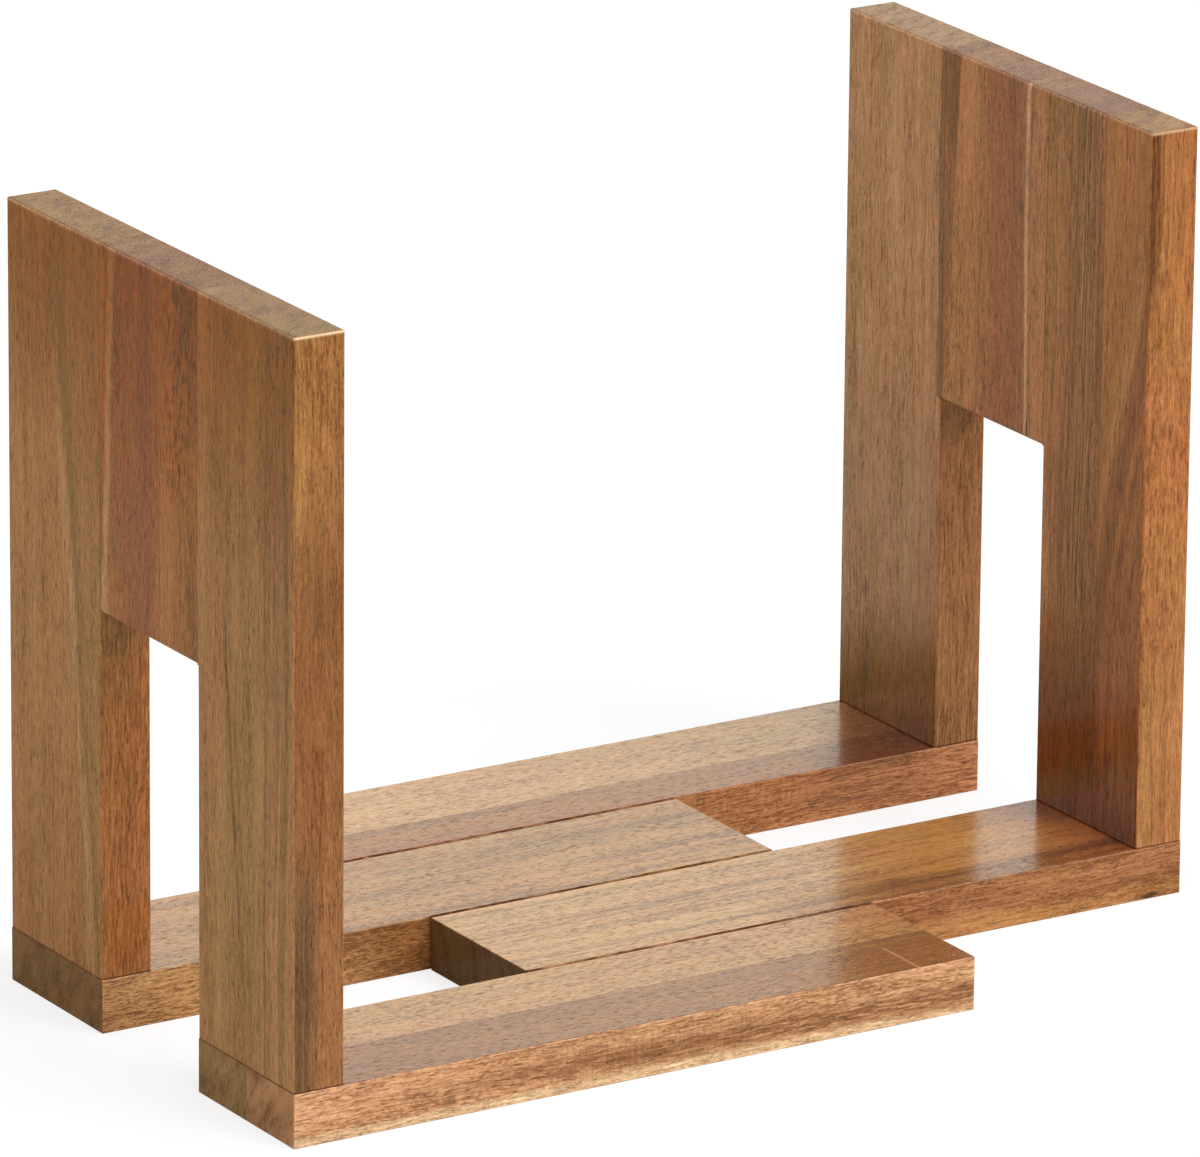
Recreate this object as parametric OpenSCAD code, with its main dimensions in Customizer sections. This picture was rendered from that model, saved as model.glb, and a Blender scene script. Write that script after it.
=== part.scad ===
// Expandable record rack in solid wood.
// It is two L-shaped halves of the same shape, the right one turned half a turn from the left.
// Each half is an upright standing on two base slats. The slats of the two halves lie side by side
// like the fingers of two hands, and slide past each other to change the space between the uprights.

/* [Uprights] */
// Height of the rack, from the floor to the top of the uprights
rack_h = 260; // [200:1:320]
// Thickness of the upright boards
upright_t = 18; // [14:0.5:24]
// Height of the slot's top above the floor
slot_top = 140; // [60:1:170]

/* [Base slats] */
// Width of a base slat, and of the leg that stands on it
slat_w = 59; // [44:1:80]
// Thickness of the base slats
slat_t = 18; // [14:0.5:24]
// Length of the base slats
slat_l = 250; // [200:1:320]
// Gap between neighbouring slats, so that the two halves slide freely
side_gap = 0.9; // [0.5:0.1:4]

/* [Setting] */
// Distance between the facing sides of the two uprights
open_gap = 334; // [60:1:360]

/* [Glued strips] */
// Width of the front strip in the left half's front slat
left_strip_w = 29; // [20:1:36]
// Width of the front strip in the right half's rear slat
right_strip_w = 22; // [20:1:36]
// Width of the front strip in the right half's front leg
leg_strip_w = 26; // [20:1:36]

/* [Dowels] */
// Diameter of the dowels that join a leg to its slat
dowel_d = 8; // [6:0.5:10]
// Length of the dowels
dowel_l = 30; // [26:1:40]
// Distance between the two dowels of a leg
dowel_spacing = 30; // [20:1:32]
// Wood left below a dowel hole
dowel_floor = 6; // [3:0.5:7]
// Room for glue round a dowel
dowel_fit = 0.05; // [0.02:0.01:0.1]
// Room for glue past each end of a dowel
dowel_end_room = 1; // [0.5:0.1:2]
// Chamfer on a dowel's ends
dowel_chamfer = 0.8; // [0.3:0.1:1.2]

/* [Edges] */
// Radius of the eased edges of the uprights
upright_edge_r = 1.1; // [0.3:0.1:3]
// Radius of the eased edges of the slats
slat_edge_r = 0.5; // [0.3:0.1:3]

/* [Hidden] */
$fn = 48;
// Distance from one slat to the next of the other half
pitch = slat_w + side_gap;
slot_w = slat_w + 2 * side_gap;
rack_l = open_gap + 2 * upright_t;
rack_w = 4 * slat_w + 3 * side_gap;
leg_h = rack_h - slat_t;
board_h = rack_h - slot_top;
// Height of the slot in a leg's own height
slot_in_leg = slot_top - slat_t;
// Depth that a dowel reaches down into its slat. The rest of it is up in the leg
dowel_sink = slat_t - dowel_floor - dowel_end_room;
// How far a cutting block reaches past what it cuts
OVER = 1;
// Which corners of a rectangle are eased, counted anticlockwise from the origin
ALL_SOFT = [true, true, true, true];
NONE_SOFT = [false, false, false, false];
TOP_SOFT = [false, false, true, true];

REAR_LEG_COLOUR = [0.63, 0.45, 0.30];
BOARD_COLOUR = [0.58, 0.36, 0.25];
FRONT_LEG_COLOUR = [0.60, 0.42, 0.27];
DARK_LEG_COLOUR = [0.52, 0.38, 0.26];
PALE_SLAT_COLOUR = [0.82, 0.68, 0.52];
BROWN_STRIP_COLOUR = [0.68, 0.53, 0.43];
GREY_SLAT_COLOUR = [0.76, 0.64, 0.51];
DOWEL_COLOUR = [0.85, 0.74, 0.56];

// What easing takes off corner i of a rectangle
module corner_waste(size, r, i) {
    right = (i == 1 || i == 2);
    top = i > 1;
    corner = [right ? size.x : 0, top ? size.y : 0];
    inward = [right ? -1 : 1, top ? -1 : 1];
    difference() {
        translate(corner) square(2 * r, center = true);
        translate(corner + r * inward) circle(r = r);
    }
}

// Rectangle with its chosen corners eased
module soft_rect(size, r, soft) {
    difference() {
        square(size);
        for (i = [0:3]) if (soft[i]) corner_waste(size, r, i);
    }
}

// Board with eased edges, from its outlines seen from above, from the front and from the side
module board(size, r, above = ALL_SOFT, front = ALL_SOFT, side = ALL_SOFT) {
    intersection() {
        linear_extrude(size.z) soft_rect([size.x, size.y], r, above);
        translate([0, size.y, 0]) rotate([90, 0, 0])
            linear_extrude(size.y) soft_rect([size.x, size.z], r, front);
        rotate([90, 0, 90]) linear_extrude(size.x) soft_rect([size.y, size.z], r, side);
    }
}

// The part of a board between two distances from its front face
module strip(from, to) {
    intersection() {
        children();
        translate([-OVER, from, -OVER]) cube([slat_l + 2 * OVER, to - from, rack_h + 2 * OVER]);
    }
}

// A leg's two dowel axes, in the leg's own place
module at_dowels() {
    for (side = [-1, 1])
        translate([upright_t / 2, slat_w / 2 + side * dowel_spacing / 2, 0]) children();
}

// Holes for a leg's dowels, centred on the seam between leg and slat
module dowel_holes() {
    at_dowels() translate([0, 0, -dowel_sink - dowel_end_room])
        cylinder(d = dowel_d + 2 * dowel_fit, h = dowel_l + 2 * dowel_end_room);
}

module dowel() {
    r = dowel_d / 2;
    translate([0, 0, -dowel_sink]) rotate_extrude()
        polygon([
            [0, 0],
            [r - dowel_chamfer, 0],
            [r, dowel_chamfer],
            [r, dowel_l - dowel_chamfer],
            [r - dowel_chamfer, dowel_l],
            [0, dowel_l]
        ]);
}

// Leg whose slot side faces back. Its foot is square, to sit on the slat, and above the slot
// its slot side is square too, to meet the centre board
module leg() {
    difference() {
        board([upright_t, slat_w, leg_h], upright_edge_r,
            above = [true, true, false, false], front = TOP_SOFT, side = [false, false, false, true]);
        for (i = [2, 3]) linear_extrude(slot_in_leg) corner_waste([upright_t, slat_w], upright_edge_r, i);
        dowel_holes();
    }
}

// Slat with the holes for its leg's dowels
module slat() {
    difference() {
        board([slat_l, slat_w, slat_t], slat_edge_r);
        translate([0, 0, slat_t]) dowel_holes();
    }
}

// The pieces of one half, with its outer side at the front and its upright at the left end
module outer_leg() {
    translate([0, 0, slat_t]) leg();
}

module inner_leg() {
    translate([0, 2 * pitch + slat_w, slat_t]) mirror([0, 1, 0]) leg();
}

module centre_board() {
    translate([0, slat_w, slot_top])
        board([upright_t, slot_w, board_h], upright_edge_r, above = NONE_SOFT, side = NONE_SOFT);
}

module outer_slat() {
    slat();
}

module inner_slat() {
    translate([0, 2 * pitch, 0]) slat();
}

module leg_dowels() {
    for (y = [0, 2 * pitch]) translate([0, y, slat_t]) at_dowels() dowel();
}

// Each half in its place about the middle of the rack
module left_half() {
    translate([-rack_l / 2, -rack_w / 2, 0]) children();
}

module right_half() {
    rotate([0, 0, 180]) left_half() children();
}

module left_rear_leg() {
    color(REAR_LEG_COLOUR) left_half() inner_leg();
}

module left_centre_board() {
    color(BOARD_COLOUR) left_half() centre_board();
}

module left_front_leg() {
    color(FRONT_LEG_COLOUR) left_half() outer_leg();
}

module left_front_slat_back_strip() {
    color(PALE_SLAT_COLOUR) left_half() strip(left_strip_w, slat_w) outer_slat();
}

module left_front_slat_front_strip() {
    color(BROWN_STRIP_COLOUR) left_half() strip(0, left_strip_w) outer_slat();
}

module left_rear_slat() {
    color(GREY_SLAT_COLOUR) left_half() inner_slat();
}

module left_leg_dowels() {
    color(DOWEL_COLOUR) left_half() leg_dowels();
}

module right_rear_leg() {
    color(REAR_LEG_COLOUR) right_half() outer_leg();
}

module right_centre_board() {
    color(BOARD_COLOUR) right_half() centre_board();
}

module right_front_leg_back_strip() {
    color(DARK_LEG_COLOUR) right_half()
        strip(2 * pitch, 2 * pitch + slat_w - leg_strip_w) inner_leg();
}

module right_front_leg_front_strip() {
    color(FRONT_LEG_COLOUR) right_half()
        strip(2 * pitch + slat_w - leg_strip_w, 2 * pitch + slat_w) inner_leg();
}

module right_front_slat() {
    color(PALE_SLAT_COLOUR) right_half() inner_slat();
}

module right_rear_slat_back_strip() {
    color(PALE_SLAT_COLOUR) right_half() strip(0, slat_w - right_strip_w) outer_slat();
}

module right_rear_slat_front_strip() {
    color(BROWN_STRIP_COLOUR) right_half() strip(slat_w - right_strip_w, slat_w) outer_slat();
}

module right_leg_dowels() {
    color(DOWEL_COLOUR) right_half() leg_dowels();
}

left_rear_leg();
left_centre_board();
left_front_leg();
left_front_slat_back_strip();
left_front_slat_front_strip();
left_rear_slat();
left_leg_dowels();
right_rear_leg();
right_centre_board();
right_front_leg_back_strip();
right_front_leg_front_strip();
right_front_slat();
right_rear_slat_back_strip();
right_rear_slat_front_strip();
right_leg_dowels();
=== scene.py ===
import math

import bpy
from mathutils import Matrix, Vector


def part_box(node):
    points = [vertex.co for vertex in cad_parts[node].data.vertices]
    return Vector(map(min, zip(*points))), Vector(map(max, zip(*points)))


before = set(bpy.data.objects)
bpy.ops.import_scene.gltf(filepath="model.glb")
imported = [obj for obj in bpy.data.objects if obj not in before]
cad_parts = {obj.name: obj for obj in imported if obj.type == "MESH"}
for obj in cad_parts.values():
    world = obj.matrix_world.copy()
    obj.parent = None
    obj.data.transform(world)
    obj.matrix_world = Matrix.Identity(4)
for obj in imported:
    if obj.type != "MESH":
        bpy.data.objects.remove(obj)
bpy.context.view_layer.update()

# Camera, at the photograph's viewing angle, in degrees. The aim is a point in the middle of the rack.
AZIMUTH = -31.81
ELEVATION = 17.80
ROLL = 0.51
AIM = Vector((-0.0030, -0.0012, 0.1220))
DISTANCE = 3.718
LENS = 348.9
SENSOR = 36.0
CLIP_START = 0.1
CLIP_END = 60.0

# Millimetres in a metre. The wood's patterns are written in millimetres.
MM = 1000.0

# Finish of the lacquered faces, and of the end grain, which drinks the lacquer, and how much it
# varies from fibre to fibre
FACE_ROUGHNESS = 0.16
END_ROUGHNESS = 0.60
FIBRE_ROUGHNESS = 0.16
# How much rougher open flecks and grimy gaps are than the lacquer round them
FLECK_ROUGHER = 0.30
GRIME_ROUGHER = 0.55
# The lacquer, how much of it the ends have and how much is missing over open flecks
COAT = 0.79
END_COAT = 0.5
COAT_LOST = 0.55
COAT_ROUGHNESS = 0.14
# Gloss of the wood under the lacquer
WOOD_SPECULAR = 0.2
# Relief of the grain: its strength, its depth in metres and the fibres' part of it
BUMP_STRENGTH = 0.25
BUMP_DEPTH = 0.0002
FIBRE_HEIGHT = 0.6

# Darkest and lightest tone of a wood, as shares of its middle tone in red, green and blue
DARKEST = (0.52, 0.44, 0.38)
LIGHTEST = (1.32, 1.42, 1.56)
# How strongly the fine grain shows through a streak of another tone
DETAIL = 0.95
# How red, green and blue follow a slow change of hue
HUE_CAST = (-0.30, 0.18, -0.25)
# Colour left in an open pore, and how much the pores crowd together
PORE_SHADE = 0.70
PORE_CROWDING = 0.35
# How much of the flecks is missing on the ends
END_CALM = 0.85
# How much the end grain hides the boards' own tones, how strong its figure is and how it slants
END_COVER = 0.8
END_VEINS = 2.0
END_CLOUDS = 2.2
END_SLANT = 0.5

# Distances from an arris at which the finish starts to wear thin and is worn through
WEAR_REACH = 1.1
WEAR_THROUGH = 0.33
WEAR_LIGHTER = 1.14
# Painted highlight on a top front arris: its colour, and where it starts and is full, from the two
# edges
ARRIS_HIGHLIGHT_TONE = "#ecc898"
ARRIS_HIGHLIGHT_REACH = (1.4, 0.5)
# Half width, softness and darkness of a glued seam, and the fade at its ends
SEAM_REACH = 0.28
SEAM_SOFT = 0.6
SEAM_SHADE = 0.55
SEAM_FADE = 1.0
# Half width and colour of the line where two members meet
JOINT_REACH = 0.45
JOINT_SHADE = (0.42, 0.34, 0.28)
# Distance that takes a slat's joint line off every face but its end
OFF_THE_END = 9.0
# Colour of the grime and painted shadow between two slats, its place on the front arris, and its
# patches
GAP_SHADOW_AND_GRIME = (0.26, 0.17, 0.12)
GAP_ACROSS = (58.1, 58.6)
GAP_DEEP = (1.5, 0.8)
GAP_FADE = 2.0
GAP_RAGGED = 0.6
GAP_PATCH = (4.0, 9.0, 4.0)
GAP_SEED = 42

# Millimetres across, along and deep of each layer of the wood, and the seed of its noise
LAYERS = {
    "bands": ((7.0, 220.0, 60.0), 1),
    "lines": ((1.3, 70.0, 30.0), 2),
    "fibres": ((0.6, 14.0, 0.6), 3),
    "blotches": ((14.0, 45.0, 14.0), 5),
    "ripples": ((9.0, 1.2, 9.0), 6),
    "pores": ((0.55, 4.0, 0.55), 7),
    "pore crowds": ((5.0, 60.0, 5.0), 8),
    "wear": ((3.0, 9.0, 3.0), 9),
    "hue": ((9.0, 240.0, 40.0), 10),
    "end veins": ((1.0, 4.0, 3.0), 11),
    "end clouds": ((6.0, 9.0, 9.0), 12),
    "specks": ((0.42, 1.6, 0.42), 13),
}
FLECK_SEED = 4
HAIRLINE_SEED = 30
# How far the noise moves from one seed to the next, and a streak's seed from one place to the next
SEED_STEPS = (13.7, 7.3, 29.1)
STREAK_SEED_STEP = 0.71
# Bends of the grain, slow and middling: their size, and how far they go sideways. A grain's own
# wave gives how far the quick ones go.
BENDS = (((30.0, 120.0, 30.0), 3.0), ((5.0, 17.0, 5.0), 0.6))
QUICK_BEND = (3.0, 9.0, 3.0)
BEND_SEED = 0.37
# Heart of the tree, across and deep, round which the bands of growth run
PITH = (-90.0, 40.0)
# Noise's middle level, and the levels between which a mask made from noise rises to full
MID_LEVEL = 0.5
PORE_LEVELS = (0.58, 0.68)
KEPT_LEVELS = (0.33, 0.6)
HAIRLINE_LEVELS = (0.48, 0.64)
RIB_LEVELS = (0.40, 0.72)
OPEN_FLECK_LEVELS = (0.5, 0.32)
RUBBED_LEVELS = (0.3, 0.6)
# How much the flecks break up the ribs of curled grain
RIB_BREAKS = 0.9
# How squarely a face looks some way, from not at all to fully
FACING_LEVELS = (0.6, 0.85)
# Softness of a blot's edge
BLOT_SOFT = 0.5


def paint(code):
    """Scene colour of a six digit colour code."""
    channels = [int(code[i:i + 2], 16) / 255 for i in (1, 3, 5)]
    return [c / 12.92 if c <= 0.04045 else ((c + 0.055) / 1.055) ** 2.4 for c in channels] + [1.0]


def tones(code):
    """Darkest, middle and lightest tone of a wood, from the colour code of its middle one."""
    middle = paint(code)
    darkest = [c * share for c, share in zip(middle, DARKEST)] + [1.0]
    lightest = [c * share for c, share in zip(middle, LIGHTEST)] + [1.0]
    return [darkest, middle, lightest]


def swing(noise, amount):
    """Noise as a push up or down, by up to about half the amount."""
    return (noise - MID_LEVEL) * amount


def toward(azimuth, elevation):
    """Direction from the object, in degrees. Azimuth 0 is in front and 90 to the right."""
    a, e = math.radians(azimuth), math.radians(elevation)
    return Vector((math.sin(a) * math.cos(e), -math.cos(a) * math.cos(e), math.sin(e)))


class Field:
    """A number, colour or vector that varies over a surface, with the usual arithmetic on numbers."""

    def __init__(self, graph, socket):
        self.graph = graph
        self.socket = socket

    def __add__(self, other):
        return self.graph.math("ADD", self, other)

    def __sub__(self, other):
        return self.graph.math("SUBTRACT", self, other)

    def __rsub__(self, other):
        return self.graph.math("SUBTRACT", other, self)

    def __mul__(self, other):
        return self.graph.math("MULTIPLY", self, other)


class Graph:
    """The node tree of a material or world, with a short call for each kind of node."""

    def __init__(self, owner):
        owner.use_nodes = True
        self.owner = owner
        self.tree = owner.node_tree
        self.tree.nodes.clear()

    def node(self, kind, **settings):
        made = self.tree.nodes.new("ShaderNode" + kind)
        for key, value in settings.items():
            setattr(made, key, value)
        return made

    def put(self, value, socket):
        """Sets a socket to a constant, or links a field to it."""
        if isinstance(value, Field):
            self.tree.links.new(value.socket, socket)
        else:
            socket.default_value = value

    def output(self, shader, kind="OutputMaterial"):
        self.tree.links.new(shader.outputs[0], self.node(kind).inputs[0])

    def math(self, operation, *values):
        made = self.node("Math", operation=operation)
        for value, socket in zip(values, made.inputs):
            self.put(value, socket)
        return Field(self, made.outputs[0])

    def vector_math(self, operation, *values, output="Vector"):
        made = self.node("VectorMath", operation=operation)
        for value, socket in zip(values, made.inputs):
            self.put(value, socket)
        return Field(self, made.outputs[output])

    def combine(self, x, y, z):
        made = self.node("CombineXYZ")
        for value, socket in zip((x, y, z), made.inputs):
            self.put(value, socket)
        return Field(self, made.outputs[0])

    def separate(self, vector):
        made = self.node("SeparateXYZ")
        self.put(vector, made.inputs[0])
        return [Field(self, socket) for socket in made.outputs]

    def coordinates(self, output):
        return Field(self, self.node("TexCoord").outputs[output])

    def ray(self, kind):
        """One for light paths of a kind, such as the camera's own."""
        return Field(self, self.node("LightPath").outputs[f"Is {kind} Ray"])

    def smooth(self, value, low, high):
        """Rises softly from 0 at low to 1 at high, or falls if low is the larger."""
        made = self.node("MapRange", interpolation_type="SMOOTHSTEP")
        for number, socket in zip((value, low, high, 0.0, 1.0), made.inputs):
            self.put(number, socket)
        return Field(self, made.outputs[0])

    def mix(self, factor, first, second, blend="MIX"):
        made = self.node("Mix", data_type="RGBA", blend_type=blend)
        sockets = made.inputs[0], made.inputs[6], made.inputs[7]
        for value, socket in zip((factor, first, second), sockets):
            self.put(value, socket)
        return Field(self, made.outputs[2])

    def noise(self, place, size, seed, detail=2.0, roughness=0.5, output="Fac"):
        """Noise around 0.5 whose blotches have the given size in each direction of place."""
        shift = [seed * step for step in SEED_STEPS]
        made = self.node("TexNoise")
        spread = self.vector_math("MULTIPLY_ADD", place, [1 / side for side in size], shift)
        self.put(spread, made.inputs["Vector"])
        made.inputs["Scale"].default_value = 1.0
        made.inputs["Detail"].default_value = detail
        made.inputs["Roughness"].default_value = roughness
        return Field(self, made.outputs[output])

    def ramp(self, factor, colours):
        """Even steps of colour from 0 to 1."""
        made = self.node("ValToRGB")
        elements = made.color_ramp.elements
        made.color_ramp.interpolation = "EASE"
        while len(elements) < len(colours):
            elements.new(0.5)
        for i, colour in enumerate(colours):
            elements[i].position = i / (len(colours) - 1)
            elements[i].color = colour
        self.put(factor, made.inputs[0])
        return Field(self, made.outputs[0])


class Board:
    """The space of one glued-up board: where its patterns are measured from, in millimetres.

    across runs from the rear edge to the front one, along follows the grain down from the top or
    from the left end, and deep runs from the left face to the right one or from the top down.
    """

    def __init__(self, nodes, upright):
        boxes = [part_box(node) for node in nodes]
        self.low = [min(box[0][i] for box in boxes) for i in range(3)]
        self.high = [max(box[1][i] for box in boxes) for i in range(3)]
        self.upright = upright
        x, y, z = [(high - low) * MM for low, high in zip(self.low, self.high)]
        self.size = (y, z, x) if upright else (y, x, z)

    def place(self, graph):
        """Coordinates across, along and deep."""
        x, y, z = graph.separate(graph.coordinates("Object"))
        across = graph.math("MULTIPLY_ADD", y, -MM, self.high[1] * MM)
        from_left = graph.math("MULTIPLY_ADD", x, MM, -self.low[0] * MM)
        from_top = graph.math("MULTIPLY_ADD", z, -MM, self.high[2] * MM)
        return (across, from_top, from_left) if self.upright else (across, from_left, from_top)


class Wood(Graph):
    """A lacquered board in solid, procedural wood.

    across, along and deep are true distances in the board. line, run and depth are the same ones
    bent with the grain. lean is how far a millimetre along moves the grain across, and curve is
    how far it swings across, between two distances along. front is the front edge's own tone.
    """

    def __init__(self, name, board, seed, code, grain, lean=0.0, curve=None, front=None):
        super().__init__(bpy.data.materials.new(name))
        self.board = board
        self.seed = seed
        self.grain = grain
        self.grime = None
        self.across, self.along, self.deep = board.place(self)
        self.place = self.combine(self.across, self.along, self.deep)
        for size, reach in (*BENDS, (QUICK_BEND, grain["wave"])):
            self.place = self.wander(size, reach)
        self.line, self.run, self.depth = self.separate(self.place)
        self.line = self.line - self.along * lean
        if curve:
            sideways, start, end = curve
            self.line = self.line + self.rising(start, end) * sideways
        self.facing = self.separate(self.coordinates("Normal"))
        self.ends = self.face_mask(self.math("ABSOLUTE", self.facing[2 if board.upright else 0]))
        self.front = self.face_mask(self.facing[1] * -1.0)
        self.colour = self.body_colour(code, front)
        self.pores = self.pore_mask(grain["pores"])

    def own_noise(self, size, number, place=None, **settings):
        return self.noise(place or self.place, size, self.seed + number, **settings)

    def layer(self, name, place=None, **settings):
        """Noise of one of the wood's layers."""
        size, number = LAYERS[name]
        return self.own_noise(size, number, place, **settings)

    def wander(self, size, reach):
        """The place, bent sideways with the grain by up to about reach millimetres."""
        bend = self.own_noise(size, BEND_SEED, detail=1.0, output="Color")
        aside = self.vector_math("SUBTRACT", bend, (MID_LEVEL,) * 3)
        return self.vector_math("MULTIPLY_ADD", aside, (2 * reach, 0.0, 2 * reach), self.place)

    def face_mask(self, facing):
        """One on the faces that look squarely some way."""
        return self.smooth(facing, *FACING_LEVELS)

    @property
    def left(self):
        """One on the faces that look to the left."""
        return self.face_mask(self.facing[0] * -1.0)

    @property
    def top(self):
        """One on the faces that look up."""
        return self.face_mask(self.facing[2])

    @property
    def off_front(self):
        """One everywhere but on the front faces."""
        return 1.0 - self.front

    def body_colour(self, code, front):
        """Bands of growth, fibres, flecks and slow blotches, from the darkest tone to the lightest."""
        grain = self.grain
        flat = self.combine(self.line, 0.0, self.depth)
        heart = (PITH[0], 0.0, PITH[1])
        radius = self.vector_math("DISTANCE", flat, heart, output="Value")
        rings = self.combine(radius, self.run, self.depth)
        self.fibres = self.layer("fibres", roughness=0.6)
        self.flecks = self.own_noise(grain["fleck_size"], FLECK_SEED, detail=2.5, roughness=0.6)
        specks = self.layer("specks", detail=1.0)
        calm = 1.0 - self.front * grain["calm_front"] - self.ends * END_CALM
        fine = swing(self.fibres, grain["fibres"]) + swing(specks, grain["specks"])
        fine = fine + swing(self.flecks, grain["flecks"]) * calm
        self.detail = self.math("MULTIPLY_ADD", fine, DETAIL, 1.0)
        tone = swing(self.layer("bands", rings), grain["bands"])
        tone = tone + swing(self.layer("lines", rings, roughness=0.6), grain["lines"]) + MID_LEVEL
        tone = tone + fine + swing(self.layer("blotches"), grain["blotches"])
        colour = self.ramp(tone, tones(code))
        if front:
            colour = self.mix(self.front, colour, self.ramp(tone, tones(front)))
        hue = self.layer("hue", rings) - MID_LEVEL
        cast = [self.math("MULTIPLY_ADD", hue, amount * grain["hue"], 1.0) for amount in HUE_CAST]
        return self.mix(1.0, colour, self.combine(*cast), "MULTIPLY")

    def pore_mask(self, amount):
        """Short dark vessels, seen as dashes on the faces and as dots on the ends."""
        dashes = self.layer("pores", detail=1.0)
        crowds = swing(self.layer("pore crowds", detail=1.0), PORE_CROWDING)
        return self.smooth(dashes + crowds, *PORE_LEVELS) * amount

    def near(self, value, centre, width, soft=0.5):
        """One at the centre, falling to nothing past half the width. Soft is the share that fades."""
        away = self.math("ABSOLUTE", value - centre)
        return self.smooth(away, width / 2 * (1 + soft), width / 2 * (1 - soft))

    def between(self, value, start, end, fade):
        """One from start to end, with a fade at each."""
        rise = self.smooth(value, start - fade / 2, start + fade / 2)
        return rise * self.smooth(value, end + fade / 2, end - fade / 2)

    def rising(self, start, end):
        """Rises along the board from nothing at start to one at end. Start may be the larger."""
        return self.smooth(self.along, start, end)

    def region(self, across=None, along=None, deep=None, fade=6.0):
        """One inside a box of the board, in millimetres, with soft sides."""
        mask = None
        for value, span in ((self.line, across), (self.along, along), (self.depth, deep)):
            if span:
                side = self.between(value, span[0], span[1], fade)
                mask = side if mask is None else mask * side
        return mask

    def rough(self, mask, amount, seed, size=(1.2, 34.0, 1.2)):
        """Breaks a mask up along the grain, by a share of it."""
        kept = self.smooth(self.own_noise(size, seed), *KEPT_LEVELS)
        return mask * ((kept - 1.0) * amount + 1.0)

    def cover(self, mask, code):
        """Another tone, plain, where the mask is one."""
        self.colour = self.mix(mask, self.colour, paint(code))

    def lay(self, mask, code):
        """Another tone where the mask is one, with the board's fine grain in it."""
        self.colour = self.mix(mask, self.colour, self.mix(1.0, paint(code), self.detail, "MULTIPLY"))

    def streak(self, at, width, code, strength=1.0, lean=0.0, soft=0.6, span=None, fade=30.0,
               ragged=0.8, only=None, by="line"):
        """A stripe of another tone along the grain, at a distance across the board or deep in it.

        span is the part of the grain's length that it takes up, ragged how broken up it is, and
        only a mask that it keeps to.
        """
        value = {"line": self.line, "depth": self.depth}[by]
        mask = self.near(value - self.along * lean, at, width, soft)
        if span:
            mask = mask * self.between(self.along, span[0], span[1], fade)
        if only:
            mask = mask * only
        if ragged:
            mask = self.rough(mask, ragged, at * STREAK_SEED_STEP + width)
        self.lay(mask * strength, code)

    def hairlines(self, mask, code, strength, spacing=1.1, length=160.0, seed=HAIRLINE_SEED):
        """Many fine lines along the grain, inside a mask."""
        place = self.combine(self.line, self.along, self.depth)
        noise = self.own_noise((spacing, length, spacing), seed, place, detail=1.5)
        self.lay(mask * self.smooth(noise, *HAIRLINE_LEVELS) * strength, code)

    def ribs(self, mask, code, strength):
        """Curled grain: short ripples across the board, inside a mask."""
        broken = self.layer("ripples") + swing(self.flecks, RIB_BREAKS)
        self.lay(mask * self.smooth(broken, *RIB_LEVELS) * strength, code)

    def blot(self, centre, radii, code, strength):
        """A knot, fleck or blotch round a point."""
        offset = self.vector_math("SUBTRACT", self.place, centre)
        scaled = self.vector_math("MULTIPLY", offset, [1 / radius for radius in radii])
        away = self.vector_math("LENGTH", scaled, output="Value")
        self.cover(self.smooth(away, 1.0 + BLOT_SOFT, 1.0 - BLOT_SOFT) * strength, code)

    def tint(self, factors, mask):
        """Multiplies red, green and blue by factors where the mask is one."""
        if isinstance(factors, float):
            factors = (factors,) * 3
        amounts = [self.math("MULTIPLY_ADD", mask, factor - 1.0, 1.0) for factor in factors]
        self.colour = self.mix(1.0, self.colour, self.combine(*amounts), "MULTIPLY")

    def arris_mask(self):
        """One near the board's edges, from the second nearest of its faces."""
        gaps = []
        for value, size in zip((self.across, self.along, self.deep), self.board.size):
            gaps.append(self.math("MINIMUM", value, size - value))
        nearer = self.math("MINIMUM", gaps[0], gaps[1])
        farther = self.math("MAXIMUM", gaps[0], gaps[1])
        second = self.math("MAXIMUM", nearer, self.math("MINIMUM", farther, gaps[2]))
        rubbed = self.smooth(self.layer("wear", detail=1.0), *RUBBED_LEVELS)
        return self.smooth(second, WEAR_REACH, WEAR_THROUGH) * rubbed

    def seam(self, at, span=None):
        """Dark glue line where two boards meet."""
        mask = self.near(self.across, at, 2 * SEAM_REACH, SEAM_SOFT)
        if span:
            mask = mask * self.between(self.along, span[0], span[1], SEAM_FADE)
        self.tint(SEAM_SHADE, mask)

    def worn_corner(self, strength):
        """Painted highlight on the top front arris."""
        edge = self.board.size[0]
        far, near = ARRIS_HIGHLIGHT_REACH
        mask = self.rising(far, near) * self.smooth(self.across, edge - far, edge - near)
        self.cover(mask * strength, ARRIS_HIGHLIGHT_TONE)

    def joint(self, value, at):
        """Dark line where a leg stands on a slat."""
        self.soil(JOINT_SHADE, self.near(value, at, 2 * JOINT_REACH))

    def leg_line(self):
        """The same line on the slat's end, at its top."""
        self.joint(self.deep + (1.0 - self.ends) * OFF_THE_END, 0.0)

    def gap(self, start, end):
        """Shadow and grime on the front arris where the next slat lies alongside."""
        mask = self.smooth(self.across, *GAP_ACROSS) * self.smooth(self.deep, *GAP_DEEP)
        mask = mask * self.between(self.along, start, end, GAP_FADE)
        self.soil(GAP_SHADOW_AND_GRIME, self.rough(mask, GAP_RAGGED, GAP_SEED, GAP_PATCH))

    def soil(self, factors, mask):
        """Dark, matte grime in a gap, and painted shadow between two slats."""
        self.tint(factors, mask)
        self.grime = mask if self.grime is None else self.math("MAXIMUM", self.grime, mask)

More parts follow.
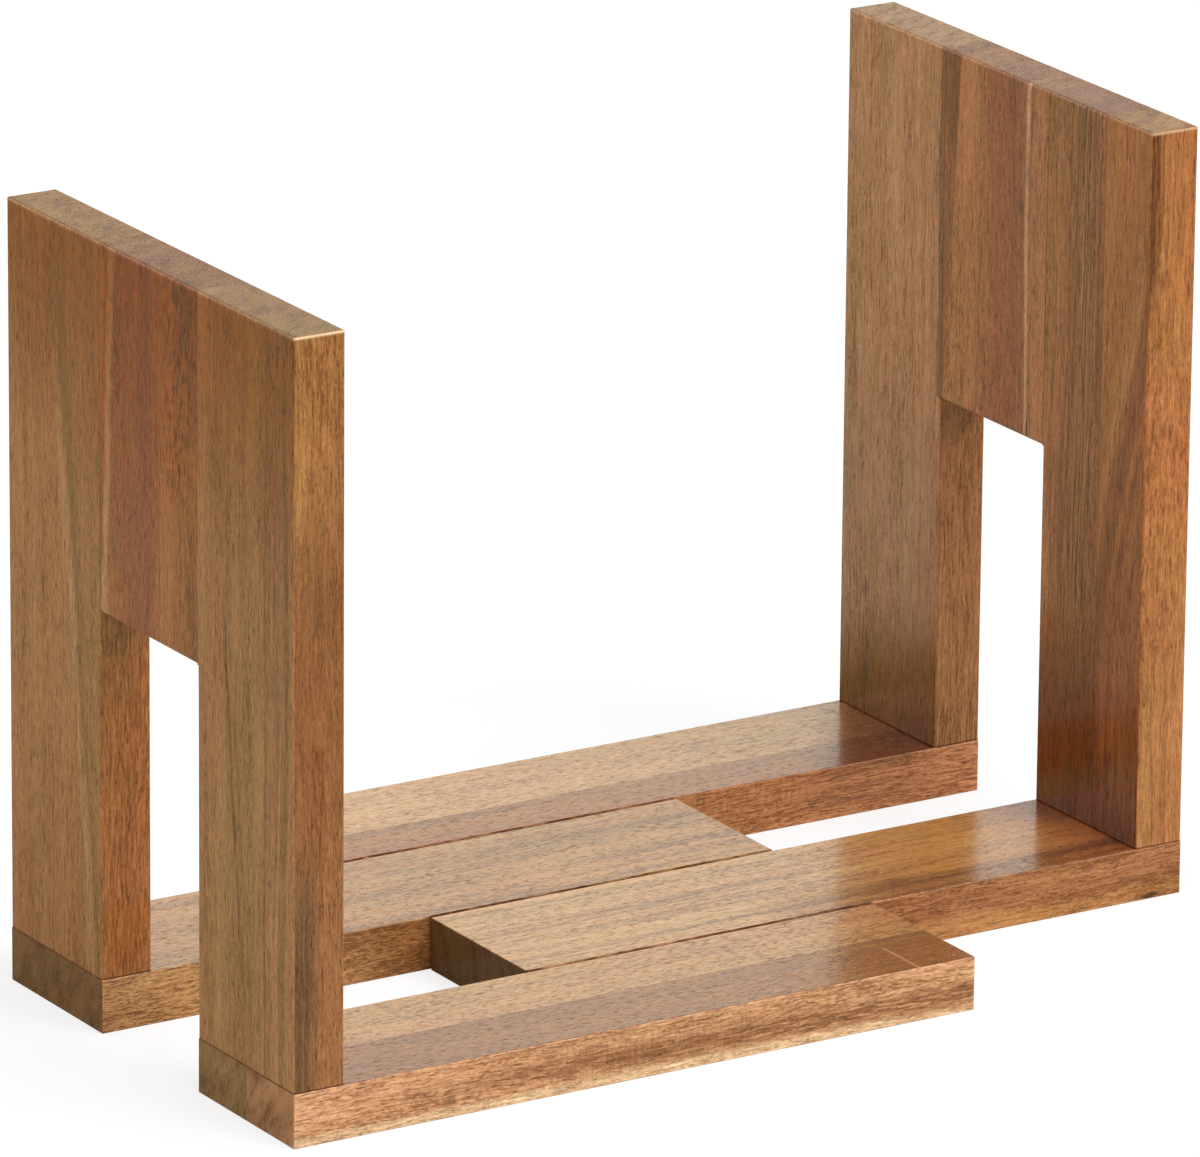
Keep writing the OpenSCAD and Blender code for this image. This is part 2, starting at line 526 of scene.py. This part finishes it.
    def end_grain(self, code):
        """The ends' own tone, with slanting veins and clouds."""
        slanted = self.combine(self.across + self.deep * END_SLANT, self.along, self.deep)
        veins = self.layer("end veins", slanted, detail=4.0, roughness=0.65) - MID_LEVEL
        clouds = self.layer("end clouds", slanted) - MID_LEVEL
        tone = veins * END_VEINS + clouds * END_CLOUDS + MID_LEVEL
        self.colour = self.mix(self.ends * END_COVER, self.colour, self.ramp(tone, tones(code)))

    def roughness(self, open_flecks):
        uneven = swing(self.fibres, FIBRE_ROUGHNESS) + FACE_ROUGHNESS + open_flecks * FLECK_ROUGHER
        if self.grime:
            uneven = uneven + self.grime * GRIME_ROUGHER
        return self.ends * (END_ROUGHNESS - FACE_ROUGHNESS) + uneven

    def coat(self, open_flecks):
        """Thickness of the lacquer."""
        coat = COAT - self.ends * (COAT - END_COAT) - open_flecks * COAT_LOST
        if self.grime:
            coat = coat - self.grime * COAT
        return self.math("MAXIMUM", coat, 0.0)

    def relief(self):
        """Raised fibres and sunken flecks and pores."""
        bump = self.node("Bump")
        bump.inputs["Strength"].default_value = BUMP_STRENGTH
        bump.inputs["Distance"].default_value = BUMP_DEPTH
        height = self.fibres * FIBRE_HEIGHT + self.flecks * self.grain["emboss"] - self.pores
        self.put(height, bump.inputs["Height"])
        return Field(self, bump.outputs[0])

    def finish(self, end_code):
        """Adds pores, worn edges, ends and the lacquer, and joins all into the shader."""
        self.tint(PORE_SHADE, self.pores * (1.0 - self.ends))
        self.tint(WEAR_LIGHTER, self.arris_mask())
        self.end_grain(end_code)
        open_flecks = self.smooth(self.flecks, *OPEN_FLECK_LEVELS)
        shader = self.node("BsdfPrincipled")
        self.put(self.colour, shader.inputs["Base Color"])
        self.put(self.roughness(open_flecks), shader.inputs["Roughness"])
        self.put(self.coat(open_flecks), shader.inputs["Coat Weight"])
        self.put(self.relief(), shader.inputs["Normal"])
        shader.inputs["Specular IOR Level"].default_value = WOOD_SPECULAR
        shader.inputs["Coat Roughness"].default_value = COAT_ROUGHNESS
        self.output(shader)
        return self.owner


# Strength of each layer of the grain. Fleck sizes are in millimetres across, along and deep.
SMOOTH = {
    "bands": 0.6, "lines": 0.6, "fibres": 1.25, "flecks": 1.4, "specks": 0.9, "blotches": 0.7,
    "hue": 1.0, "pores": 0.5, "wave": 0.3, "emboss": 1.5, "fleck_size": (0.65, 4.4, 0.65),
    "calm_front": 0.0,
}
LINED = {**SMOOTH, "lines": 0.9, "fibres": 1.5, "specks": 1.1}
LONG = {**SMOOTH, "fibres": 1.35, "fleck_size": (0.7, 6.0, 0.7)}
MIXED = {**SMOOTH, "bands": 0.9, "specks": 1.0, "blotches": 1.2, "hue": 1.7}
FLECKED = {
    **SMOOTH, "lines": 1.2, "fibres": 1.4, "flecks": 2.8, "specks": 1.3, "blotches": 0.5,
    "hue": 0.7, "pores": 0.4, "wave": 0.7, "emboss": 2.5, "fleck_size": (0.65, 3.2, 0.65),
    "calm_front": 0.35,
}
QUIET = {**FLECKED, "lines": 0.9, "flecks": 2.2, "wave": 0.6, "emboss": 2.0}
FIGURED = {**FLECKED, "bands": 1.7, "lines": 1.4, "flecks": 2.2, "specks": 1.1, "calm_front": 0.7}
PALE = {**FLECKED, "lines": 0.8, "flecks": 2.1, "specks": 1.0}
BANDED = {**FLECKED, "bands": 2.5, "lines": 1.3, "blotches": 0.9, "hue": 0.8}

LEFT_UPRIGHT = Board(["left_rear_leg", "left_centre_board", "left_front_leg"], upright=True)
RIGHT_UPRIGHT = Board(["right_rear_leg", "right_centre_board", "right_front_leg_back_strip",
                       "right_front_leg_front_strip"], upright=True)
LEFT_FRONT_SLAT = Board(["left_front_slat_back_strip", "left_front_slat_front_strip"], upright=False)
LEFT_REAR_SLAT = Board(["left_rear_slat"], upright=False)
RIGHT_FRONT_SLAT = Board(["right_front_slat"], upright=False)
RIGHT_REAR_SLAT = Board(["right_rear_slat_back_strip", "right_rear_slat_front_strip"], upright=False)

# Where the strips of the boards meet, from the rear edge
LEG_SEAM = 59.0
FRONT_LEG_SEAM = 119.8
RIGHT_STRIP_SEAM = 152.8
LEFT_SLAT_SEAM = 30.0
RIGHT_SLAT_SEAM = 37.0
# The slot's top and the legs' foot, down from the top of the upright, and the part with no slot
SLOT_TOP = 120.0
FOOT = 242.0
ABOVE_SLOT = (-5.0, SLOT_TOP)

# Painted shade: the left upright's wood darkens toward its top, and the right one's toward its foot,
# which starts higher toward the front. Other faces than the left ones have only a share of it.
SHADE_TOWARD_TOP = (0.74, 0.46, 0.10)
SHADE_TOWARD_FOOT = (0.46, 0.29, 0.0)
TOP_SPAN = (100.0, 0.0)
ARRIS_SPAN = (0.2, 2.0)
FOOT_SLOPE = 0.3
OTHER_FACES = 0.1
# Slope of the painted shade where the right rear leg stands, and where it starts and is full
LEG_SHADE_SLOPE = 0.78
LEG_SHADE_SPAN = (222.0, 244.0)
# Width, softness, strength and colour of a fine scratch
SCRATCH_WIDTH = 0.9
SCRATCH_SOFT = 0.7
SCRATCH_STRENGTH = 0.6
SCRATCH_TONE = "#d8a878"


def mostly_left(wood):
    """One on the faces that look to the left, and a little on the others."""
    return wood.left * (1.0 - OTHER_FACES) + OTHER_FACES


def left_upright_depth(wood):
    """Painted shade toward the top, stopping at the top arris."""
    below_arris = wood.rising(*ARRIS_SPAN) * (1.0 - wood.ends) * wood.off_front
    wood.tint(SHADE_TOWARD_TOP, wood.rising(*TOP_SPAN) * below_arris * mostly_left(wood))


def right_upright_depth(wood, start=195.0, end=245.0):
    """Painted shade toward the foot, from start to end down the rear edge."""
    foot = wood.smooth(wood.along + wood.across * FOOT_SLOPE, start, end)
    wood.tint(SHADE_TOWARD_FOOT, foot * wood.off_front * mostly_left(wood))


def round_the_leg(wood, factors):
    """Painted shade and dark reflection of the leg, deep and red, on the top where the right rear leg
    stands.
    """
    foot = wood.smooth(wood.along + wood.across * LEG_SHADE_SLOPE, *LEG_SHADE_SPAN)
    wood.tint(factors, foot * wood.top)


def scratch(wood, along, across):
    """A fine pale scratch across the top."""
    mask = wood.near(wood.along, along, SCRATCH_WIDTH, SCRATCH_SOFT)
    mask = mask * wood.region(across=across, fade=1.0) * wood.off_front
    wood.cover(mask * SCRATCH_STRENGTH, SCRATCH_TONE)


def left_rear_leg():
    """Tan stave with streaks that spread toward the foot."""
    wood = Wood("left_rear_leg", LEFT_UPRIGHT, 1, "#be7c4a", SMOOTH, lean=0.02)
    wood.streak(9.5, 5, "#a86a3c", 0.35, ragged=0.7)
    wood.streak(19, 3, "#a86a3c", 0.3, ragged=0.7)
    wood.streak(50, 18, "#ac6a40", 0.6, span=(-40, 105), fade=60)
    wood.streak(34, 8, "#9a6a38", 0.6, lean=0.07, soft=0.8, span=(-40, 250), ragged=0.7)
    wood.streak(33, 3.5, "#85602c", 0.6, lean=0.08, span=(20, 130), ragged=0.7)
    wood.streak(27.5, 3.4, "#cc9a6c", 0.6, lean=0.085, span=(45, 300), ragged=0.6, soft=0.9)
    wood.streak(30.6, 1.5, "#835428", 0.45, lean=0.088, ragged=0.7)
    wood.streak(53, 10, "#ae7e46", 0.4, span=(120, 300), fade=60)
    wood.hairlines(wood.region(across=(2, 26)), "#a3663a", 0.35, 1.6)
    wood.hairlines(wood.region(across=(36, 59)), "#8c5c30", 0.3, 1.1, seed=31)
    wood.tint((0.95, 0.86, 0.78), wood.front)
    wood.hairlines(wood.front, "#7c4420", 0.5, 0.8, 9.0, seed=32)
    wood.tint((0.95, 1.12, 1.22), wood.front * wood.rising(142.0, 128.0))
    # Painted shade toward the top of the left faces
    left_upright_depth(wood)
    wood.seam(LEG_SEAM, ABOVE_SLOT)
    wood.joint(wood.along, FOOT)
    return wood.finish("#82622e")


def left_centre_board():
    """Red-brown stave, mottled near its front edge."""
    wood = Wood("left_centre_board", LEFT_UPRIGHT, 2, "#b36b39", MIXED)
    wood.streak(81, 25, "#a0523a", 0.75, ragged=0.5)
    wood.streak(86, 6, "#8f4440", 0.6, span=(-30, 100))
    wood.streak(73, 3, "#b8663c", 0.5, ragged=0.6)
    wood.streak(98.5, 4, "#c28454", 0.45, ragged=0.4)
    wood.streak(66.7, 3.6, "#d6a27a", 0.65, lean=-0.045, ragged=0.3, soft=0.8)
    wood.streak(63.6, 2.0, "#935426", 0.5, lean=-0.045)
    wood.hairlines(wood.region(across=(68, 120)), "#8c4a28", 0.35, 1.0)
    mottled = wood.region(across=(99, 117), along=(-40, 70), fade=14)
    wood.tint((1.08, 1.0, 0.9), wood.rising(110.0, 60.0) * wood.left)
    wood.tint((1.16, 0.97, 0.68), mottled * wood.left)
    wood.ribs(mottled, "#70340e", 0.35)
    wood.hairlines(mottled, "#662e0c", 0.75, 1.5, 5.0, seed=33)
    wood.ribs(wood.region(across=(60, 80), along=(40, 125), fade=30), "#96502a", 0.25)
    # Painted shade toward the top of the left faces
    left_upright_depth(wood)
    wood.seam(LEG_SEAM)
    wood.seam(FRONT_LEG_SEAM)
    return wood.finish("#78542b")


def left_front_leg():
    """Brown stave with a dark line that slants across it, and a front edge that varies down it."""
    wood = Wood("left_front_leg", LEFT_UPRIGHT, 3, "#b97b4a", SMOOTH)
    wood.streak(125, 10, "#a5743e", 0.5, span=(90, 290), fade=80)
    wood.streak(128, 7, "#9e6c36", 0.5, lean=0.09, span=(40, 230))
    wood.streak(127.5, 1.8, "#74451e", 0.85, lean=0.09, span=(85, 215))
    wood.streak(129.5, 1.0, "#835026", 0.7, lean=0.1, span=(110, 235))
    wood.streak(139, 2.2, "#9a6234", 0.5, span=(-30, 110))
    wood.streak(148, 4, "#a1683a", 0.4)
    wood.streak(167, 17, "#9c623a", 0.5, span=(-40, 135), fade=60)
    wood.streak(173, 3, "#86602e", 0.6, ragged=0.7)
    wood.streak(162, 2, "#86602e", 0.5, ragged=0.7)
    wood.hairlines(wood.region(across=(156, 178)), "#7c522e", 0.45, 1.2)
    wood.hairlines(wood.region(across=(121, 150)), "#8e5c34", 0.4, 1.3, seed=31)
    wood.tint((1.04, 1.14, 1.22), wood.rising(110.0, 200.0) * wood.off_front)
    wood.tint((0.97, 0.95, 0.80), wood.front * wood.rising(75.0, 20.0))
    wood.tint((0.65, 0.58, 0.52), wood.front * wood.rising(30.0, 90.0))
    wood.tint((1.16, 1.34, 1.46), wood.front * wood.rising(140.0, 190.0))
    wood.hairlines(wood.front, "#7c4c28", 0.4, 0.8, 25.0, seed=32)
    wood.streak(3.8, 8.5, "#56402c", 0.8, by="depth", span=(172, 256), fade=40, only=wood.front,
                ragged=0.35, soft=0.8)
    # Painted shade toward the top of the left faces
    left_upright_depth(wood)
    # Painted highlight on the top front arris
    wood.worn_corner(0.9)
    wood.seam(FRONT_LEG_SEAM, ABOVE_SLOT)
    wood.joint(wood.along, FOOT)
    return wood.finish("#826332")


def right_rear_leg():
    """Pale tan stave, with a dark streak beside its seam."""
    wood = Wood("right_rear_leg", RIGHT_UPRIGHT, 4, "#cb9163", LONG)
    wood.tint((0.85, 0.92, 1.10), wood.rising(90.0, 170.0))
    wood.streak(41, 2.4, "#a56d40", 0.5, span=(-30, 130))
    wood.streak(22, 6, "#b5794a", 0.3)
    wood.streak(47, 2.0, "#ab7246", 0.5)
    wood.streak(53, 6, "#b27a4e", 0.45)
    wood.streak(57.9, 3.6, "#8e5c36", 0.9, span=(-10, SLOT_TOP), fade=2, ragged=0.0, soft=0.2)
    wood.tint((0.82, 0.68, 0.50), wood.front)
    wood.hairlines(wood.front, "#8a5228", 0.5, 0.8, 30.0, seed=32)
    # Painted shade at the top of the slot, under the centre board
    wood.tint((0.79, 0.79, 0.84), wood.front * wood.rising(140.0, 126.0))
    # Painted shade toward the foot
    right_upright_depth(wood, 203.0, 240.0)
    wood.seam(LEG_SEAM, ABOVE_SLOT)
    wood.joint(wood.along, FOOT)
    return wood.finish("#93734f")


def right_centre_board():
    """Red-brown stave with a slanting stripe at its rear edge and a dark fleck near its foot."""
    wood = Wood("right_centre_board", RIGHT_UPRIGHT, 5, "#c5804f", LINED)
    stripe = wood.near(wood.line + wood.along * 0.052, 61.6, 13.0, 0.1)
    wood.lay(stripe * 0.95, "#b06b40")
    wood.streak(65.2, 4.5, "#8c5a3a", 0.6, lean=-0.052, ragged=0.3)
    wood.tint((0.70, 0.66, 0.57), stripe * wood.rising(42.0, 18.0))
    wood.streak(95, 24, "#a55c3e", 0.85, soft=0.8, ragged=0.2)
    wood.streak(103, 8, "#985e40", 0.6)
    wood.hairlines(wood.region(across=(98, 119)), "#865034", 0.36, 0.9)
    wood.streak(108.2, 2.0, "#e6b08a", 0.8, ragged=0.15, span=(-40, 125))
    wood.streak(115, 8, "#bc805c", 0.5)
    wood.blot((109.5, 117.0, 0.0), (0.45, 4.5, 4.0), "#3c2418", 0.9)
    wood.seam(LEG_SEAM)
    wood.seam(FRONT_LEG_SEAM)
    return wood.finish("#845d3d")


def right_front_leg_back_strip():
    """Dark, finely lined strip."""
    wood = Wood("right_front_leg_back_strip", RIGHT_UPRIGHT, 6, "#ba784a", LINED)
    wood.streak(132, 9, "#a86c44", 0.5)
    wood.streak(143, 15, "#a06e46", 0.6, span=(-40, 230))
    wood.hairlines(wood.region(across=(122, 153)), "#8a5432", 0.7, 1.1)
    darker = wood.region(across=(135, 151), along=(-40, 170), fade=14)
    wood.hairlines(darker, "#683a1a", 0.95, 0.9, seed=31)
    # Painted shade toward the foot
    right_upright_depth(wood)
    wood.seam(FRONT_LEG_SEAM, ABOVE_SLOT)
    wood.seam(RIGHT_STRIP_SEAM)
    wood.joint(wood.along, FOOT)
    return wood.finish("#81593d")


def right_front_leg_front_strip():
    """Orange-brown strip whose streaks swing forward, with a dark band down its front edge."""
    wood = Wood("right_front_leg_front_strip", RIGHT_UPRIGHT, 7, "#be7642", LONG,
                curve=(30.0, 32.0, 190.0))
    wood.streak(183, 7, "#8e4a30", 0.75, soft=0.9, ragged=0.4, only=wood.off_front)
    wood.streak(175.5, 5, "#d0905e", 0.5, span=(40, 200), only=wood.off_front)
    wood.streak(191, 2.5, "#924e30", 0.7, only=wood.off_front)
    wood.streak(199, 5, "#985830", 0.45, only=wood.off_front)
    wood.hairlines(wood.region(across=(172, 214), fade=20), "#8e4e30", 0.45, 1.5)
    wood.hairlines(wood.front, "#96602c", 0.4, 0.7, 60.0, seed=32)
    wood.streak(1.2, 4.6, "#5f2f10", 0.9, by="depth", span=(-40, 58), only=wood.front, soft=0.45,
                ragged=0.5)
    wood.streak(4.6, 1.0, "#7a4218", 0.8, by="depth", span=(-40, 30), only=wood.front, ragged=0.6)
    wood.tint((0.94, 1.06, 1.12), wood.front * wood.rising(120.0, 200.0))
    wood.tint((0.84, 0.82, 0.80), wood.rising(90.0, 150.0) * wood.off_front)
    wood.ribs(wood.front * wood.region(deep=(10, 21), along=(-10, 60), fade=8), "#a06a30", 0.5)
    # Painted shade toward the foot
    right_upright_depth(wood, 221.0, 306.0)
    # Painted highlight on the top front arris
    wood.worn_corner(0.45)
    wood.seam(RIGHT_STRIP_SEAM)
    wood.joint(wood.along, FOOT)
    return wood.finish("#8f6d39")


def left_front_slat_back_strip():
    """Pale, flecked strip."""
    wood = Wood("left_front_slat_back_strip", LEFT_FRONT_SLAT, 8, "#c68f4e", FLECKED)
    wood.tint((0.90, 0.84, 0.85), wood.rising(190.0, 240.0))
    wood.seam(LEFT_SLAT_SEAM)
    wood.leg_line()
    return wood.finish("#93704a")


def left_front_slat_front_strip():
    """Brown strip with a pale front edge, which has a dark heart, a curly part and a paler foot."""
    wood = Wood("left_front_slat_front_strip", LEFT_FRONT_SLAT, 9, "#9d6120", QUIET, front="#dfa678")
    wood.tint((0.90, 0.88, 1.20), wood.rising(190.0, 240.0) * wood.off_front)
    wood.hairlines(wood.front, "#9a6440", 0.6, 0.6, 9.0)
    heart = wood.near(wood.deep - wood.along * 0.017, 7.6, 6.5, 0.7) * wood.front
    heart = wood.rough(heart, 0.7, 40, (1.5, 11.0, 1.0)) * wood.rising(20.0, 120.0)
    wood.lay(heart * 0.9, "#8e5836")
    wood.ribs(wood.front * wood.region(along=(95, 168), deep=(3, 15), fade=9), "#8a5432", 0.5)
    foot = wood.smooth(wood.deep, 13.8, 15.8) * wood.front
    wood.lay(wood.rough(foot, 0.6, 41, (1.0, 14.0, 1.0)) * 0.7, "#efd0a4")
    wood.streak(15, 3, "#b0683c", 0.6, by="depth", span=(215, 270), only=wood.front)
    scratch(wood, 229.0, (37, 70))
    wood.seam(LEFT_SLAT_SEAM)
    wood.leg_line()
    return wood.finish("#b6825a")


def left_rear_slat():
    """Banded grey-brown board with a small knot."""
    wood = Wood("left_rear_slat", LEFT_REAR_SLAT, 10, "#b68142", BANDED, front="#c9935f")
    wood.streak(22, 5, "#946c3c", 0.6, span=(-20, 120), ragged=0.6)
    wood.streak(41, 6, "#9a7040", 0.5, span=(-20, 150), ragged=0.6)
    wood.ribs(wood.region(across=(4, 30), along=(125, 215), fade=20), "#86623a", 0.5)
    wood.blot((37.0, 140.0, 0.0), (0.7, 1.3, 1.5), "#4c3420", 0.9)
    # Painted shade on the front face toward the corner where the right front slat's end meets it
    wood.tint((0.70, 0.62, 0.52), wood.front * wood.rising(80.0, 110.0))
    wood.hairlines(wood.front, "#84502a", 0.5, 0.6, 8.0)
    wood.gap(120, 260)
    wood.leg_line()
    return wood.finish("#7a5535")


def right_front_slat():
    """Pale, figured board that reddens toward its right end, with dark streaks, two blots and painted
    shade near the right upright's foot.
    """
    wood = Wood("right_front_slat", RIGHT_FRONT_SLAT, 11, "#c8965a", FIGURED, front="#bd7c51")
    wood.streak(27, 2.6, "#845426", 0.6, span=(-40, 90), ragged=0.5, soft=0.9)
    wood.streak(30, 1.2, "#7e5020", 0.4, span=(-40, 130), ragged=0.7)
    wood.streak(50, 2.6, "#784614", 0.6, ragged=0.65, soft=0.8)
    wood.streak(50.5, 6, "#5e3012", 0.35, span=(140, 300), fade=40, ragged=0.4, soft=0.8,
                only=wood.off_front)
    deeper = wood.region(across=(40, 62), along=(98, 152), fade=16)
    wood.tint((0.72, 0.58, 0.38), deeper * wood.off_front)
    wood.blot((24.5, 72.0, 0.0), (1.2, 2.0, 2.0), "#6c4a28", 0.8)
    reddened = wood.rising(120.0, 165.0) * wood.off_front
    wood.tint((0.86, 0.70, 0.46), reddened)
    wood.tint((0.78, 0.68, 0.58), reddened * wood.smooth(wood.across, 30.0, 55.0))
    # Painted shade toward the right upright's foot, with some of the wood's own reddening
    wood.tint((0.80, 0.48, 0.24), wood.rising(190.0, 232.0) * wood.off_front)
    # Painted shade and dark reflection where the slat meets the right upright
    wood.tint((0.62, 0.50, 0.28), wood.rising(214.0, 228.0) * wood.smooth(wood.across, 30.0, 20.0))
    wood.hairlines(wood.front, "#8a5228", 0.5, 0.8, 40.0)
    wood.tint((1.12, 1.22, 1.05), wood.front * wood.smooth(wood.depth, 9.0, 13.0))
    wood.blot((59.0, 238.0, 15.5), (3.0, 3.2, 0.9), "#3c2416", 0.85)
    wood.streak(8, 5, "#84502c", 0.6, by="depth", span=(222, 262), only=wood.front, fade=12)
    wood.gap(-10, 130)
    # The end's very dark tone is partly the wood's own and partly painted shade
    return wood.finish("#35200b")


def right_rear_slat_back_strip():
    """Pale strip, with painted shade where the right rear leg stands."""
    wood = Wood("right_rear_slat_back_strip", RIGHT_REAR_SLAT, 12, "#cc995e", PALE)
    # Painted shade and reflection of the leg, where the right rear leg stands
    round_the_leg(wood, (0.50, 0.28, 0.12))
    wood.seam(RIGHT_SLAT_SEAM)
    return wood.finish("#a5784e")


def right_rear_slat_front_strip():
    """Brown strip with a red streak near its front edge, which is partly curly, and painted shade
    where the right rear leg stands.
    """
    wood = Wood("right_rear_slat_front_strip", RIGHT_REAR_SLAT, 13, "#a66824", QUIET, front="#cf8b5c")
    wood.streak(41, 4, "#7c4c24", 0.6, ragged=0.7)
    wood.streak(57.4, 3.2, "#a04c12", 0.75, ragged=0.3, only=wood.off_front)
    wood.hairlines(wood.front, "#84482a", 0.6, 0.6, 9.0)
    wood.ribs(wood.front * wood.region(along=(130, 184), deep=(-4, 10), fade=10), "#8a4020", 0.4)
    wood.streak(2, 5, "#7e4c34", 0.6, by="depth", span=(185, 228), only=wood.front)
    wood.streak(11, 8, "#8a5a42", 0.5, by="depth", span=(180, 225), only=wood.front)
    # Painted shade and reflection of the leg, where the right rear leg stands
    round_the_leg(wood, (0.46, 0.24, 0.02))
    wood.gap(-10, 130)
    wood.seam(RIGHT_SLAT_SEAM)
    return wood.finish("#a06a44")


def dowels(name, board, seed):
    """Plain, pale wood."""
    return Wood(name, board, seed, "#caa677", SMOOTH).finish("#b08c60")


MATERIALS = [
    left_rear_leg, left_centre_board, left_front_leg, right_rear_leg, right_centre_board,
    right_front_leg_back_strip, right_front_leg_front_strip, left_front_slat_back_strip,
    left_front_slat_front_strip, left_rear_slat, right_front_slat, right_rear_slat_back_strip,
    right_rear_slat_front_strip,
]
DOWELS = [("left_leg_dowels", LEFT_UPRIGHT), ("right_leg_dowels", RIGHT_UPRIGHT)]
FIRST_DOWEL_SEED = 20

for make in MATERIALS:
    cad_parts[make.__name__].material_slots[0].material = make()
for seed, (name, board) in enumerate(DOWELS, start=FIRST_DOWEL_SEED):
    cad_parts[name].material_slots[0].material = dowels(name, board, seed)


# Studio

FLOOR_SIZE = 16.0
# The floor's colour as it lights the object, as the lacquer mirrors it and as the camera sees it
FLOOR_BOUNCE = (0.70, 0.70, 0.66, 1.0)
FLOOR_MIRRORED = (0.42, 0.42, 0.25, 1.0)
FLOOR_SEEN = (0.30, 0.30, 0.30, 1.0)
# Glow that lifts the floor to white for the camera, and keeps the object's shadow faint
FLOOR_GLOW = 0.75
# The dome's colour as the camera sees it and as the lacquer mirrors it
DOME_SEEN = (1.0, 1.0, 1.0, 1.0)
DOME_MIRRORED = (1.0, 0.98, 0.89, 1.0)
# Strength of the dome's light on the object
DOME_STRENGTH = 0.55
# Strength at which a lamp that shines straight at a white surface shows it as white
WHITE = math.pi


def add_object(name, data):
    made = bpy.data.objects.new(name, data)
    bpy.context.collection.objects.link(made)
    return made


def turn(made, rotation):
    made.rotation_mode = "QUATERNION"
    made.rotation_quaternion = rotation


def floor_material():
    """Pale and matte, with a colour of its own for each kind of ray, and the glow."""
    graph = Graph(bpy.data.materials.new("floor"))
    colour = graph.mix(graph.ray("Diffuse"), FLOOR_MIRRORED, FLOOR_BOUNCE)
    colour = graph.mix(graph.ray("Camera"), colour, FLOOR_SEEN)
    matte = graph.node("BsdfDiffuse")
    graph.put(colour, matte.inputs["Color"])
    glow = graph.node("Emission")
    graph.put(graph.ray("Camera") * FLOOR_GLOW, glow.inputs["Strength"])
    both = graph.node("AddShader")
    for shader, socket in zip((matte, glow), both.inputs):
        graph.tree.links.new(shader.outputs[0], socket)
    graph.output(both)
    graph.owner.cycles.emission_sampling = "NONE"
    return graph.owner


def floor():
    half = FLOOR_SIZE / 2
    corners = [(-half, -half, 0), (half, -half, 0), (half, half, 0), (-half, half, 0)]
    mesh = bpy.data.meshes.new("floor")
    mesh.from_pydata(corners, [], [(0, 1, 2, 3)])
    mesh.materials.append(floor_material())
    made = add_object("floor", mesh)


def dome():
    """White to the camera and in reflections, and a soft fill light on the object."""
    world = bpy.data.worlds.new("dome")
    world.cycles.sampling_method = "NONE"
    graph = Graph(world)
    level = graph.node("MapRange")
    level.inputs["To Min"].default_value = 1.0
    level.inputs["To Max"].default_value = DOME_STRENGTH
    graph.put(graph.ray("Diffuse"), level.inputs["Value"])
    background = graph.node("Background")
    colour = graph.mix(graph.ray("Glossy"), DOME_SEEN, DOME_MIRRORED)
    graph.put(colour, background.inputs["Color"])
    graph.put(Field(graph, level.outputs[0]), background.inputs["Strength"])
    graph.output(background, "OutputWorld")
    bpy.context.scene.world = world


def soft_lamp(name, azimuth, elevation, strength, softness):
    """Even light from far away. Softness is its width in the sky, in degrees."""
    light = bpy.data.lights.new(name, "SUN")
    light.energy = strength * WHITE
    light.angle = math.radians(softness)
    made = add_object(name, light)
    turn(made, toward(azimuth, elevation).to_track_quat("Z", "Y"))


def camera():
    data = bpy.data.cameras.new("camera")
    data.lens = LENS
    data.sensor_width = SENSOR
    data.clip_start = CLIP_START
    data.clip_end = CLIP_END
    made = add_object("camera", data)
    back = toward(AZIMUTH, ELEVATION)
    roll = Matrix.Rotation(math.radians(ROLL), 3, "Z").to_quaternion()
    turn(made, back.to_track_quat("Z", "Y") @ roll)
    made.location = AIM + back * DISTANCE
    bpy.context.scene.camera = made


floor()
dome()
soft_lamp("key", azimuth=14, elevation=46, strength=0.55, softness=40)
soft_lamp("glint", azimuth=59, elevation=54, strength=0.05, softness=12)
camera()
bpy.context.scene.view_settings.view_transform = "Standard"
